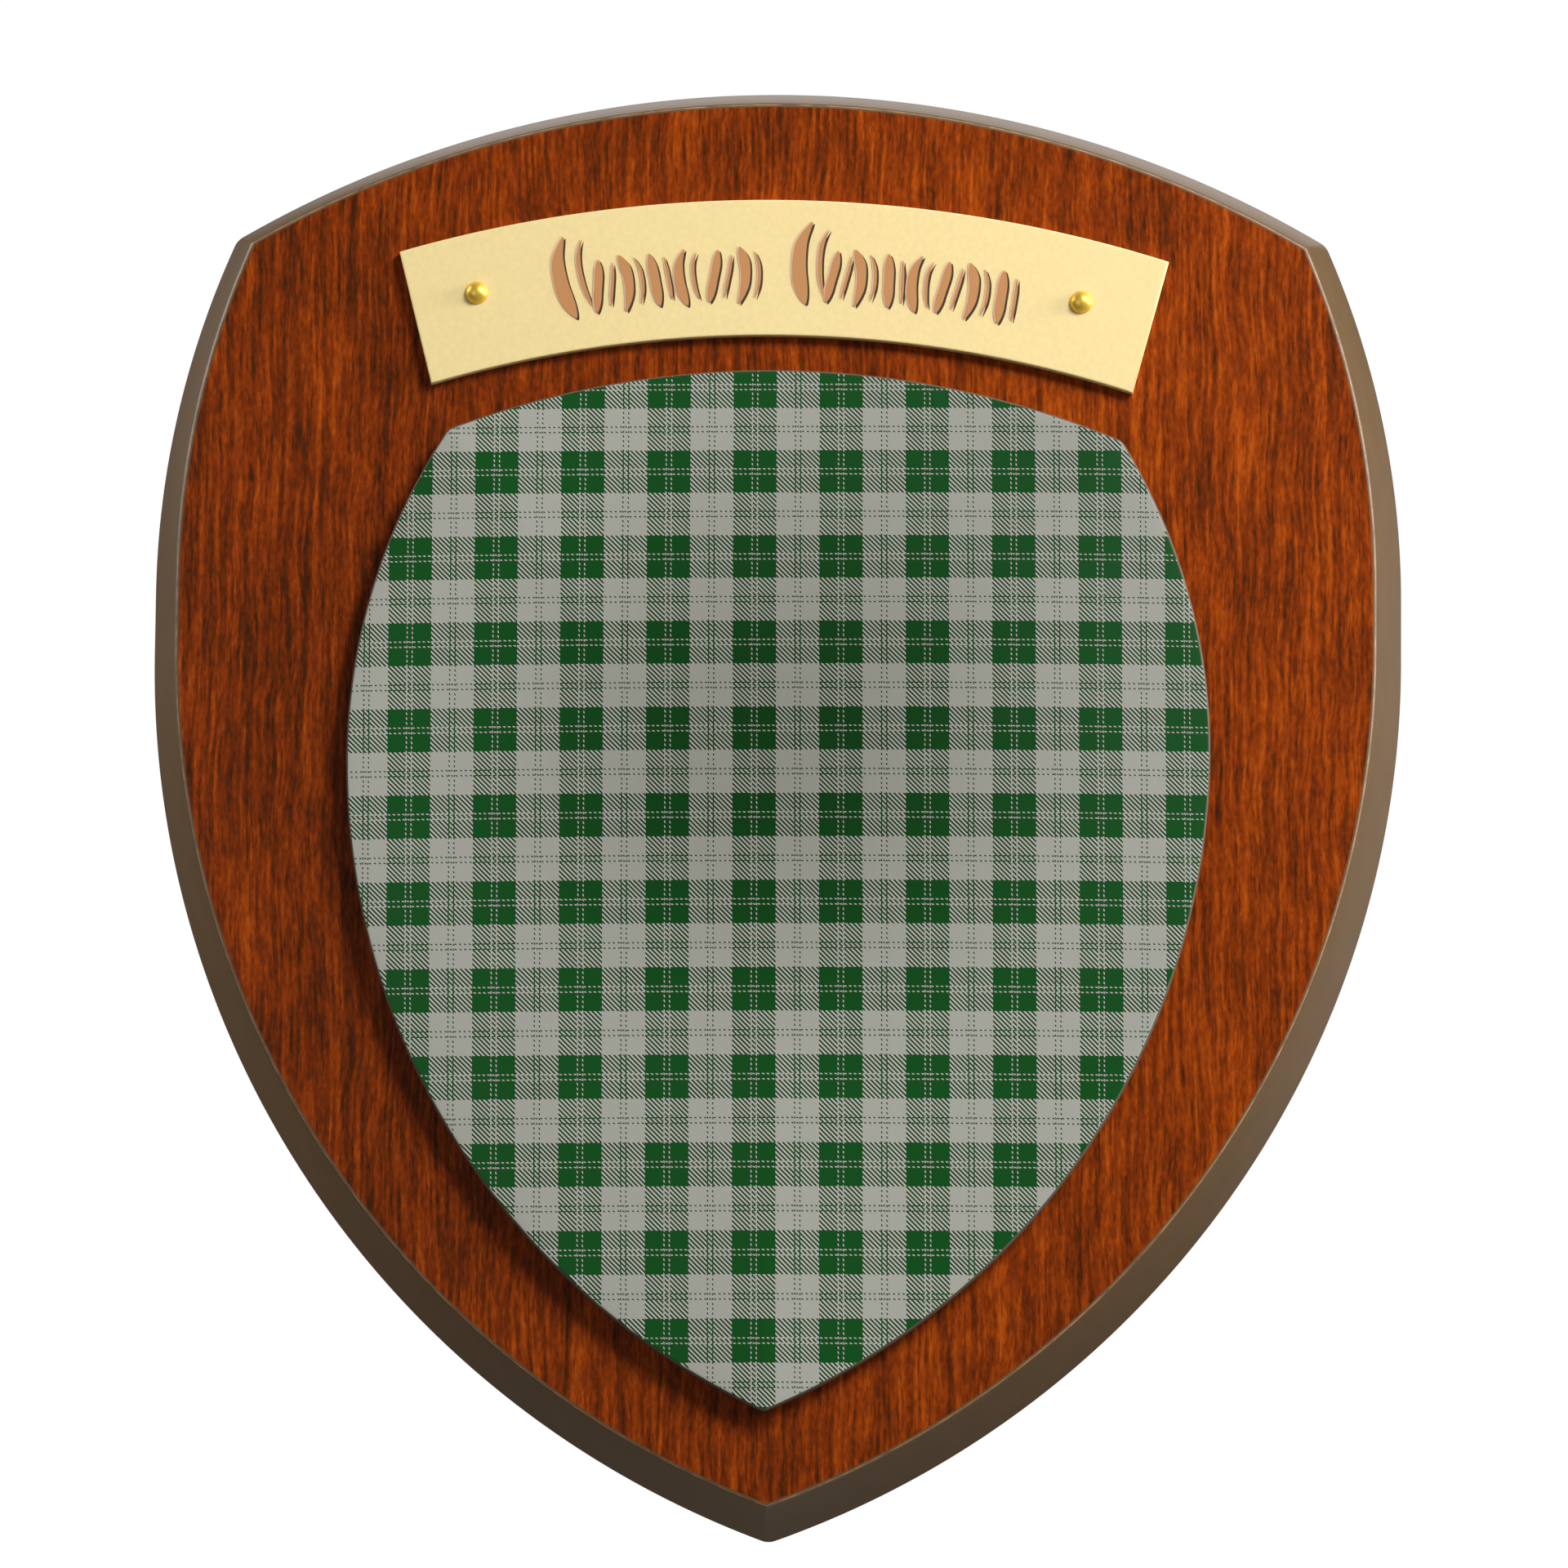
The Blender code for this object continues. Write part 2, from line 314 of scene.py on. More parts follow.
@dataclass(frozen=True)
class ShieldOutline:
    """A shield drawn with arcs. Its widest line is y = 0, where the upper side arc ends."""

    half_width: float
    upper_radius: float
    straight: float
    lower_radius: float
    crown: float
    top_radius: float
    shoulder_radius: float
    tip_radius: float
    least_corner: float = 0.4 * MM
    # Steps along the crown, the shoulder, the upper side, the lower side and the tip.
    steps: tuple[int, ...] = (60, 12, 40, 90, 8)

    def points(self, inset: float = 0.0) -> list[Point]:
        """Draw the outline, moved in all round.

        Args:
            inset: How far in, in metres.

        Returns:
            A closed loop, clockwise from the crown. Every inset gives as many points.
        """
        top_centre = (0.0, self.crown - self.top_radius)
        upper_centre = (self.half_width - self.upper_radius, 0.0)
        lower_centre = (self.half_width - self.lower_radius, -self.straight)
        top_radius = self.top_radius - inset
        upper_radius = self.upper_radius - inset
        lower_radius = self.lower_radius - inset
        shoulder = max(self.shoulder_radius - inset, self.least_corner)
        tip = max(self.tip_radius - inset, self.least_corner)

        shoulder_centre = circles_meet(
            top_centre, top_radius - shoulder, upper_centre, upper_radius - shoulder
        )
        top_end = direction(top_centre, shoulder_centre)
        upper_start = direction(upper_centre, shoulder_centre)
        reach = lower_radius - tip
        tip_y = lower_centre[1] - math.sqrt(reach**2 - lower_centre[0] ** 2)
        tip_centre = (0.0, tip_y)
        lower_end = direction(lower_centre, tip_centre)

        crown_steps, shoulder_steps, upper_steps, lower_steps, tip_steps = self.steps
        right = arc(top_centre, top_radius, math.pi / 2, top_end, crown_steps)
        right += arc(shoulder_centre, shoulder, top_end, upper_start, shoulder_steps)[1:]
        right += arc(upper_centre, upper_radius, upper_start, 0.0, upper_steps)[1:]
        if self.straight:
            right.append((self.half_width - inset, -self.straight))
        right += arc(lower_centre, lower_radius, 0.0, lower_end, lower_steps)[1:]
        right += arc(tip_centre, tip, lower_end, -math.pi / 2, tip_steps)[1:]
        return right + [(-x, y) for x, y in reversed(right[1:-1])]


BOARD_OUTLINE = ShieldOutline(
    half_width=3 * INCH,
    upper_radius=109.6 * MM,
    straight=7.6 * MM,
    lower_radius=114.3 * MM,
    crown=62.7 * MM,
    top_radius=129.6 * MM,
    shoulder_radius=2.6 * MM,
    tip_radius=2.6 * MM,
)
PANEL_OUTLINE = ShieldOutline(
    half_width=52.0 * MM,
    upper_radius=72.5 * MM,
    straight=0.0,
    lower_radius=86.4 * MM,
    crown=46.7 * MM,
    top_radius=108.8 * MM,
    shoulder_radius=1.8 * MM,
    tip_radius=1.2 * MM,
)


def eased(start: Point, corner: Point, end: Point, steps: int) -> list[Point]:
    """Round a corner off.

    Args:
        start: Where the rounding begins.
        corner: The sharp corner.
        end: Where it ends.
        steps: How many steps it takes.

    Returns:
        Points on the rounded corner, both ends included.
    """
    points = []
    for step in range(steps + 1):
        t = step / steps
        weights = ((1 - t) ** 2, 2 * t * (1 - t), t**2)
        x = sum(w * p[0] for w, p in zip(weights, (start, corner, end)))
        y = sum(w * p[1] for w, p in zip(weights, (start, corner, end)))
        points.append((x, y))
    return points


# Meshes


def at_height(outline: list[Point], height: float) -> Ring:
    """An outline as a ring of points at one height above the back."""
    return [(x, y, height) for x, y in outline]


def skin_rings(name: str, rings: list[Ring], bands: list[int] | None = None) -> Mesh:
    """Skin a closed solid over rings of equal length.

    Args:
        name: The mesh's name.
        rings: From the back to the front.
        bands: Material numbers: the back, then each band between two rings, then the front.

    Returns:
        The mesh, still lying on its back.
    """
    skin = bmesh.new()
    loops = [[skin.verts.new(point) for point in ring] for ring in rings]
    numbers = bands or [0] * (len(rings) + 1)
    back = skin.faces.new(loops[0])
    back.material_index = numbers[0]
    for number, lower, upper in zip(numbers[1:], loops, loops[1:]):
        for here in range(len(lower)):
            after = (here + 1) % len(lower)
            quad = skin.faces.new((lower[here], lower[after], upper[after], upper[here]))
            quad.material_index = number
    front = skin.faces.new(loops[-1])
    front.material_index = numbers[-1]
    bmesh.ops.recalc_face_normals(skin, faces=skin.faces)
    mesh = bpy.data.meshes.new(name)
    skin.to_mesh(mesh)
    skin.free()
    return mesh


def stand_up(mesh: Mesh, x: float, y: float, turn: float = 0.0) -> None:
    """Place a mesh drawn lying down, and stand it up.

    Args:
        mesh: The mesh.
        x: Its origin's place to the right of the middle.
        y: Its origin's place above the screw.
        turn: How far it is turned, clockwise seen from the front, in radians.
    """
    place = Matrix.Translation((x, y, 0.0)) @ Matrix.Rotation(-turn, 4, "Z")
    mesh.transform(UPRIGHT @ place)


def finished_piece(
    name: str,
    mesh: Mesh,
    materials: list[Material],
    nodes: tuple[str, ...],
    sharp: float = 30.0,
) -> Object:
    """Show a mesh as a piece that rides on the plaque.

    Args:
        name: The piece's name.
        mesh: Its mesh, in the row frame.
        materials: Its materials, in the order of its material numbers.
        nodes: The CAD nodes it stands for.
        sharp: Edges that turn further than this, in degrees, stay sharp.

    Returns:
        The object.
    """
    if not mesh.materials:
        for material in materials:
            mesh.materials.append(material)
    mesh.shade_smooth()
    mesh.set_sharp_from_angle(angle=math.radians(sharp))
    piece = link_object(name, mesh)
    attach(piece, "root")
    if nodes:
        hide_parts(*nodes)
    LOG.info("%s: %d faces", name, len(mesh.polygons))
    return piece


# Finishes


@dataclass(frozen=True)
class Grain:
    """One size of streak in the veneer, in millimetres, and how much it tells."""

    width: float
    length: float
    weight: float
    detail: float = 2.0


@dataclass(frozen=True)
class StainedMahogany:
    """Mahogany veneer, stained red-brown and lacquered: soft upright streaks, dark clouds.

    The fields cut_from and cuts_apart say which part of the endless noise each size of grain
    shows.
    """

    stain: tuple[tuple[float, str], ...] = (
        (0.22, "#3E1C07"),
        (0.38, "#602605"),
        (0.50, "#7A2F05"),
        (0.62, "#8F3B07"),
        (0.80, "#AD4E0D"),
    )
    grains: tuple[Grain, ...] = (
        Grain(8.0, 12.0, 0.22, 3.0),
        Grain(2.2, 18.0, 0.28),
        Grain(0.60, 20.0, 0.58, 1.0),
        Grain(0.50, 3.6, 0.46, 1.0),
        Grain(0.30, 0.9, 0.40, 1.0),
    )
    cut_from: float = 14.6
    cuts_apart: tuple[float, float, float] = (7.3, 3.1, 5.7)
    wander: float = 2.6
    wander_size: float = 20.0
    pores: Grain = Grain(0.24, 4.5, 0.10, 0.0)
    pore_edge: Point = (0.62, 0.70)
    painted_light_to_right: float = 0.50
    bump_strength: float = 0.15
    bump_depth: float = 0.05
    roughness: float = 0.30
    specular: float = 0.14

    def streaks(
        self,
        tree: NodeTree,
        place: NodeSocket,
        grain: Grain,
        cut: tuple[float, float, float],
    ) -> NodeSocket:
        """Draw noise out into upright streaks.

        Args:
            tree: The material's tree.
            place: The place on the veneer.
            grain: Size of the streaks.
            cut: The part of the noise that they show.

        Returns:
            The noise, from 0 to 1.
        """
        across = 1 / (grain.width * MM)
        drawn_out = add_node(
            tree,
            "ShaderNodeMapping",
            {"Vector": place, "Location": cut, "Scale": (across, across, 1 / (grain.length * MM))},
        )
        return noise_node(tree, drawn_out.outputs["Vector"], 1.0, grain.detail).outputs["Fac"]

    def build(self) -> Material:
        """Make the material."""
        material, tree, shader = new_material("stained mahogany veneer")
        place = object_place(tree)
        # The grain wanders sideways, so that the streaks slant a little here and there.
        drift = noise_node(tree, place, 1 / (self.wander_size * MM), 2.0)
        aside = {0: drift.outputs["Color"], 1: (self.wander * MM, 0.0, 0.0), 2: place}
        wandering = vector_node(tree, "MULTIPLY_ADD", aside).outputs["Vector"]
        tone: Value = 0.5
        right, deep, up = self.cuts_apart
        for number, grain in enumerate(self.grains):
            cut = (self.cut_from + right * number, deep * number, up * number)
            streaks = self.streaks(tree, wandering, grain, cut)
            centred = math_node(tree, "SUBTRACT", streaks, 0.5)
            tone = math_node(tree, "MULTIPLY_ADD", centred, grain.weight, tone)
        # Open pores hold the stain as short dark dashes, real ones half as wide as these.
        pores = self.streaks(tree, wandering, self.pores, (0.0, 0.0, 0.0))
        dashes = map_range(tree, pores, self.pore_edge, (0.0, self.pores.weight), "LINEAR")
        tone = math_node(tree, "SUBTRACT", tone, dashes)
        # Painted light: the veneer is made a little paler towards its right side.
        side = axis_of(tree, place, "X")
        tone = math_node(tree, "MULTIPLY_ADD", side, self.painted_light_to_right, tone)
        stops = [(position, hex_to_linear(colour)) for position, colour in self.stain]
        colour_by_ramp(tree, shader, tone, stops)
        add_bump(tree, shader, tone, self.bump_strength, self.bump_depth * MM)
        set_gloss(shader, self.roughness, self.specular)
        return material


@dataclass(frozen=True)
class RawBoard:
    """Unpolished brown board: the back and the cut faces of the keyhole."""

    name: str = "brown hardboard"
    colour: str = "#8A6A48"
    speck: str = "#5C4028"
    speck_scale: float = 900.0
    roughness: float = 0.8
    specular: float = 0.5

    def build(self) -> Material:
        """Make the material."""
        material, tree, shader = new_material(self.name)
        fibres = noise_node(tree, object_place(tree), self.speck_scale, 4.0)
        stops = [(0.35, hex_to_linear(self.speck)), (0.6, hex_to_linear(self.colour))]
        colour_by_ramp(tree, shader, fibres.outputs["Fac"], stops)
        set_gloss(shader, self.roughness, self.specular)
        return material


@dataclass(frozen=True)
class PrintedTartan:
    """Green and white tartan, printed square to the picture under a satin varnish, with painted
    shade towards the middle of the dome and painted light towards the lower left.

    Lengths are in millimetres. The real print's twill has 17 lines to a band. It is drawn with
    fewer, because finer lines would blur to grey in the render.
    """

    sett_across: float = 10.40
    sett_up: float = 10.49
    white_column: float = 3.05
    white_row: float = -61.4
    turn: float = math.radians(-0.48)
    lines_per_band: float = 9.0
    twill_edge: Point = (0.22, 0.28)
    pair_offset: float = 0.0602
    line_half_width: float = 0.0140
    white: str = "#9C9C93"
    green: str = "#0E4718"
    white_in_twill: str = "#A9ABA1"
    green_in_twill: str = "#142F0F"
    middle: Point = (0.5, -57.0)
    shade_radius: float = 46.0
    shade_gamma: float = 0.20
    shade_depth: float = 0.12
    painted_light_across: float = -3.5
    painted_light_up: float = -2.2
    painted_light_at_screw: float = 0.898
    roughness: float = 0.42
    specular: float = 0.12

    def thread(self, tree: NodeTree, along: NodeSocket) -> NodeSocket:
        """Say where one set of threads is white.

        Args:
            tree: The material's tree.
            along: The place across the threads, in setts.

        Returns:
            1 on a white thread and 0 on a green one. The first half of a sett is green, and
            each band has a pair of thin lines of the other colour along its middle.
        """
        band = math_node(tree, "GREATER_THAN", math_node(tree, "FRACT", along), 0.5)
        in_band = math_node(tree, "FRACT", math_node(tree, "MULTIPLY", along, 2.0))
        distance = math_node(tree, "ABSOLUTE", math_node(tree, "SUBTRACT", in_band, 0.5))
        line = math_node(tree, "COMPARE", distance, self.pair_offset, self.line_half_width)
        return math_node(tree, "ABSOLUTE", math_node(tree, "SUBTRACT", band, line))

    def weave(self, tree: NodeTree, place: NodeSocket) -> NodeSocket:
        """Draw the threads.

        Args:
            tree: The material's tree.
            place: The place on the shield.

        Returns:
            The colour of the thread on top.
        """
        # A white band is the second half of a sett, so its middle lies at three quarters.
        start_across = self.white_column - 0.75 * self.sett_across
        start_up = self.white_row - 0.75 * self.sett_up
        in_setts = add_node(
            tree,
            "ShaderNodeMapping",
            {
                "Vector": place,
                "Location": (start_across * MM, 0.0, start_up * MM),
                "Rotation": (0.0, self.turn, 0.0),
                "Scale": (self.sett_across * MM, self.sett_across * MM, self.sett_up * MM),
            },
            vector_type="TEXTURE",
        ).outputs["Vector"]
        across = axis_of(tree, in_setts, "X")
        up = axis_of(tree, in_setts, "Z")
        warp = self.thread(tree, across)
        weft = self.thread(tree, up)
        # The twill: the warp is on top in one half of each slanting line, with soft edges.
        slant = math_node(tree, "ADD", across, up)
        lines = math_node(tree, "MULTIPLY", slant, 2 * self.lines_per_band)
        from_line = math_node(tree, "SUBTRACT", math_node(tree, "FRACT", lines), 0.5)
        warp_on_top = map_range(tree, math_node(tree, "ABSOLUTE", from_line), self.twill_edge)
        top = mix_node(tree, "FLOAT", warp_on_top, weft, warp)
        # Where green crosses white, the green lines look nearly black.
        mixed = math_node(tree, "ABSOLUTE", math_node(tree, "SUBTRACT", warp, weft))
        inks = []
        for plain, in_twill in (
            (self.green, self.green_in_twill),
            (self.white, self.white_in_twill),
        ):
            colours = (hex_to_linear(plain), hex_to_linear(in_twill))
            inks.append(mix_node(tree, "RGBA", mixed, *colours))
        return mix_node(tree, "RGBA", top, *inks)

    def painted_shade(self, tree: NodeTree, place: NodeSocket) -> NodeSocket:
        """Say how much painted shade lies on the print: 1 in the middle of the dome, 0 a shade
        radius away.
        """
        radius = self.shade_radius * MM
        from_middle = add_node(
            tree,
            "ShaderNodeMapping",
            {
                "Vector": place,
                "Location": (self.middle[0] * MM, 0.0, self.middle[1] * MM),
                "Scale": (radius, 1.0, radius),
            },
            vector_type="TEXTURE",
        )
        distance = vector_node(tree, "LENGTH", {0: from_middle.outputs["Vector"]})
        return map_range(tree, distance.outputs["Value"], (0.0, 1.0), (1.0, 0.0))

    def build(self) -> Material:
        """Make the material."""
        material, tree, shader = new_material("printed tartan")
        place = object_place(tree)
        # Painted shade: the print is darkened towards the middle of the dome, by a gamma and then
        # a scale.
        painted_shade = self.painted_shade(tree, place)
        gamma = math_node(tree, "MULTIPLY_ADD", painted_shade, self.shade_gamma, 1.0)
        inputs = {"Color": self.weave(tree, place), "Gamma": gamma}
        gamma_shaded = add_node(tree, "ShaderNodeGamma", inputs)
        shade = math_node(tree, "MULTIPLY_ADD", painted_shade, -self.shade_depth, 1.0)
        shaded = vector_node(tree, "SCALE", {0: gamma_shaded.outputs["Color"], "Scale": shade})
        # Painted light: the print is made a little brighter to the lower left than to the upper
        # right.
        fall = {0: place, 1: (self.painted_light_across, 0.0, self.painted_light_up)}
        slope = vector_node(tree, "DOT_PRODUCT", fall)
        strength = math_node(tree, "ADD", slope.outputs["Value"], self.painted_light_at_screw)
        painted_light_colour = vector_node(tree, "SCALE", {0: shaded.outputs["Vector"], "Scale": strength})
        tree.links.new(painted_light_colour.outputs["Vector"], shader.inputs["Base Color"])
        set_gloss(shader, self.roughness, self.specular)
        return material


@dataclass(frozen=True)
class PlainFinish:
    """A finish that a fine grain alone sets off from flat."""

    name: str
    colour: str
    roughness: float
    metallic: float = 0.0
    specular: float = 0.5
    grain_scale: float = 1500.0
    grain_strength: float = 0.2
    grain_depth: float = 0.02
    mottle: float = 0.0
    mottle_scale: float = 260.0

    def build(self) -> Material:
        """Make the material."""
        material, tree, shader = new_material(self.name)
        place = object_place(tree)
        grain = noise_node(tree, place, self.grain_scale, 3.0).outputs["Fac"]
        add_bump(tree, shader, grain, self.grain_strength, self.grain_depth * MM)
        colour = hex_to_linear(self.colour)
        if self.mottle:
            clouds = noise_node(tree, place, self.mottle_scale, 4.0)
            low = tuple(part * (1 - self.mottle) for part in colour[:3]) + (1.0,)
            high = tuple(min(part * (1 + self.mottle), 1.0) for part in colour[:3]) + (1.0,)
            colour_by_ramp(tree, shader, clouds.outputs["Fac"], [(0.3, low), (0.7, high)])
        else:
            shader.inputs["Base Color"].default_value = colour
        set_gloss(shader, self.roughness, self.specular, self.metallic)
        return material


# Grey-brown, with a soft sheen where the light grazes the sloping edge.
EDGE_PAINT = PlainFinish(
    "matt edge paint", "#614B32", roughness=0.42, mottle=0.05, specular=0.25
)
# The bright, broken line between the face and the edge.
PALE_ARRIS_LINE = PlainFinish(
    "paint rubbed thin on the arris", "#8A6A4C", roughness=0.5, mottle=0.5, mottle_scale=500.0
)
# Pale and even, with hardly a highlight.
SATIN_BRASS = PlainFinish(
    "pale satin brass", "#ECD597", roughness=0.55, metallic=0.12, mottle=0.03, mottle_scale=1600.0
)
# Yellower than the nameplate, with one small highlight on each head.
POLISHED_BRASS = PlainFinish("polished brass", "#F0C650", roughness=0.40, metallic=0.65)
# The unprinted wall and rim of the domed shield, with painted shade: coloured dark so that the rim
# takes no highlight.
MOULDING_WITH_PAINTED_SHADE = PlainFinish(
    "dull plastic moulding", "#5C5042", roughness=0.5, mottle=0.1, specular=0.2
)


class StrokeLayer(Enum):
    """The three layers of a stroke: name, colour, and shift and lift in millimetres."""

    # SHADE is a painted shadow to the lower right of each stroke, and LIGHT a painted highlight to
    # its upper left.
    SHADE = ("brown shade line", "#35230F", (0.24, -0.22), 0.04)
    LIGHT = ("pale light line", "#DDB394", (-0.19, 0.06), 0.06)
    FACE = ("copper enamel", "#BB824D", (0.0, 0.0), 0.09)

    def material(self) -> Material:
        """The layer's finish."""
        name, colour, _, _ = self.value
        return PlainFinish(name, colour, roughness=0.55).build()

    @property
    def shift(self) -> Vector:
        """How far the layer lies off the face layer, and its height above the plate."""
        _, _, (x, y), lift = self.value
        return Vector((x * MM, y * MM, lift * MM))


# Pieces


class BoardFace(IntEnum):
    """Material numbers of the board."""

    VENEER = 0
    PAINT = 1
    RAW = 2
    RUBBED = 3


@dataclass
class PlaqueBoard:
    """The shield board: a mahogany face, a painted sloping edge and a plain back."""

    slope_inset: float = 3.6 * MM
    arris: float = 0.45 * MM
    back_arris: float = 0.4 * MM
    entry_diameter: float = 10.0 * MM
    slot_width: float = 5.0 * MM
    head_way_width: float = 9.6 * MM
    slot_travel: float = 12.0 * MM
    lip: float = 2.5 * MM
    head_way_depth: float = 4.5 * MM
    cutter_steps: int = 24

    def profile(self) -> tuple[list[Point], list[int]]:
        """Section of the edge.

        Returns:
            Insets with heights, from the back to the face, and the material numbers.
        """
        slope = self.slope_inset / BOARD_THICKNESS
        back = eased(
            (self.back_arris, 0.0), (0.0, 0.0), (slope * self.back_arris, self.back_arris), 3
        )
        low = BOARD_THICKNESS - self.arris
        front = eased(
            (slope * low, low),
            (self.slope_inset, BOARD_THICKNESS),
            (self.slope_inset + self.arris, BOARD_THICKNESS),
            4,
        )
        # One more ring on the flat keeps the shading of the arris off the rest of the face.
        flat = [(self.slope_inset + 2 * self.arris, BOARD_THICKNESS)]
        rings = back + front + flat
        bands = [BoardFace.RAW] + [BoardFace.PAINT] * (len(rings) - 2) + [BoardFace.VENEER] * 2
        bands[-4] = BoardFace.RUBBED
        return rings, bands

    def cutters(self) -> list[Object]:
        """The entry hole, the screw's slot and the way for its head, as cutters."""
        foot = -self.slot_travel
        front = self.lip + self.head_way_depth
        # Each has its width, the heights of its upper and lower round ends, and its depths.
        shapes = (
            ("entry", self.entry_diameter, (foot, foot), (-MM, front + 0.2 * MM)),
            ("slot", self.slot_width, (0.0, foot), (-MM, self.lip + 0.5 * MM)),
            ("head_way", self.head_way_width, (0.0, foot), (self.lip, front)),
        )
        made = []
        for name, width, (upper, lower), (low, high) in shapes:
            loop = arc((0.0, upper), width / 2, 0.0, math.pi, self.cutter_steps)
            loop += arc((0.0, lower), width / 2, math.pi, 2 * math.pi, self.cutter_steps)
            if upper == lower:
                whole = arc((0.0, upper), width / 2, 0.0, 2 * math.pi, 2 * self.cutter_steps)
                loop = whole[:-1]
            mesh = skin_rings(name, [at_height(loop, low), at_height(loop, high)])
            mesh.transform(UPRIGHT)
            made.append(link_object(name, mesh))
        return made

    def build(self) -> Object:
        """Make the board and cut its keyhole."""
        profile, bands = self.profile()
        rings = [at_height(BOARD_OUTLINE.points(inset), height) for inset, height in profile]
        mesh = skin_rings("board", rings, bands)
        stand_up(mesh, 0.0, CROWN_ABOVE_SCREW - BOARD_OUTLINE.crown)
        finishes = [
            StainedMahogany().build(),
            EDGE_PAINT.build(),
            RawBoard().build(),
            PALE_ARRIS_LINE.build(),
        ]
        # They go on before the cut, because it drops the numbers of missing materials.
        for finish in finishes:
            mesh.materials.append(finish)
        blank = link_object("board_blank", mesh)
        cutters = self.cutters()
        for cutter in cutters:
            modifier = blank.modifiers.new(cutter.name, "BOOLEAN")
            modifier.solver = "EXACT"
            modifier.operation = "DIFFERENCE"
            modifier.object = cutter
        evaluated = blank.evaluated_get(bpy.context.evaluated_depsgraph_get())
        carved = bpy.data.meshes.new_from_object(evaluated)
        carved.name = "board"
        for spent in [blank, *cutters]:
            bpy.data.objects.remove(spent)
        self.dress_keyhole(carved)
        return finished_piece("finished_board", carved, finishes, ("plaque_board",))

    def dress_keyhole(self, mesh: Mesh) -> None:
        """Give the cut faces inside the back the raw board's finish."""
        deepest = -(self.lip + self.head_way_depth + MM)
        lowest = -(self.slot_travel + self.entry_diameter)
        for face in mesh.polygons:
            x, y, z = face.center
            near = abs(x) < self.entry_diameter and lowest < z < self.entry_diameter
            if near and deepest < y < -0.1 * MM:
                face.material_index = BoardFace.RAW


@dataclass
class TartanShield:
    """The domed shield: a moulding with the tartan printed on its face, its bare rim painted dark
    as shade.
    """

    crown_below_board_crown: float = 37.0 * MM
    shift: float = 0.55 * MM
    turn: float = math.radians(0.7)
    wall: float = 2.05 * MM
    edge_radius: float = 0.45 * MM
    dome: float = 2.9 * MM
    edge_turn: float = math.radians(84)
    # The dome rises to a point this share of its half width below its widest line.
    top_below_widest: float = 0.25
    edge_steps: int = 10
    unprinted_shaded_steps: int = 7
    dome_steps: int = 26

    def build(self) -> Object:
        """Make the shield."""
        back = BOARD_THICKNESS + SEAT
        wall_top = BOARD_THICKNESS + SOLID_GAP + self.wall
        rings = [at_height(PANEL_OUTLINE.points(), back)]
        # Material 0 is the print, and material 1 is the bare moulding, painted dark as shade.
        bands = [1]
        for step in range(self.edge_steps + 1):
            angle = self.edge_turn * step / self.edge_steps
            inset = self.edge_radius * (1 - math.cos(angle))
            height = wall_top + self.edge_radius * math.sin(angle)
            rings.append(at_height(PANEL_OUTLINE.points(inset), height))
            bands.append(1 if step <= self.unprinted_shaded_steps else 0)
        rim = rings[-1]
        rim_height = rim[0][2]
        middle_y = -PANEL_OUTLINE.half_width * self.top_below_widest
        for step in range(1, self.dome_steps):
            share = 1 - step / self.dome_steps
            height = rim_height + self.dome * (1 - share**2)
            rings.append(
                [(x * share, middle_y + (y - middle_y) * share, height) for x, y, _ in rim]
            )
            bands.append(0)
        bands.append(0)
        mesh = skin_rings("tartan_shield", rings, bands)
        y = CROWN_ABOVE_SCREW - self.crown_below_board_crown - PANEL_OUTLINE.crown
        stand_up(mesh, self.shift, y, self.turn)
        finishes = [PrintedTartan().build(), MOULDING_WITH_PAINTED_SHADE.build()]
        return finished_piece(
            "finished_tartan_shield", mesh, finishes, ("tartan_shield",), sharp=50.0
        )


@dataclass
class Nameplate:
    """The curved brass strip, with the rows of strokes on it."""

    top_radius: float = 158.8 * MM
    height: float = 16.7 * MM
    upper_half_angle: float = math.radians(17.1)
    lower_half_angle: float = math.radians(17.4)
    thickness: float = 1.3 * MM
    bevel: float = 0.14 * MM
    steps: int = 120
    crown_below_board_crown: float = 15.8 * MM
    shift: float = 0.7 * MM
    turn: float = math.radians(0.45)

    @property
    def place(self) -> Point:
        """The crown of its upper edge, from the screw."""
        return (self.shift, CROWN_ABOVE_SCREW - self.crown_below_board_crown)

    @property
    def front(self) -> float:
        """Height of its front above the board's back."""
        return BOARD_THICKNESS + self.thickness

    def outline(self, inset: float) -> list[Point]:
        """Its outline, moved in all round."""
        centre = (0.0, -self.top_radius)
        middle = math.pi / 2
        high = self.top_radius - inset
        low = self.top_radius - self.height + inset
        upper_half = self.upper_half_angle - inset / high
        lower_half = self.lower_half_angle - inset / low
        upper = arc(centre, high, middle - upper_half, middle + upper_half, self.steps)
        lower = arc(centre, low, middle + lower_half, middle - lower_half, self.steps)
        return upper + lower

    def build(self) -> Object:
        """Make the strip."""
        section = [
            (0.0, BOARD_THICKNESS + SEAT),
            (0.0, self.front - self.bevel),
            (self.bevel * 0.3, self.front - self.bevel * 0.3),
            (self.bevel, self.front),
            (self.bevel * 2, self.front),
        ]
        rings = [at_height(self.outline(inset), height) for inset, height in section]
        mesh = skin_rings("nameplate", rings)
        stand_up(mesh, *self.place, self.turn)
        return finished_piece(
            "finished_nameplate", mesh, [SATIN_BRASS.build()], ("nameplate",), sharp=50.0
        )


# Geometry node trees


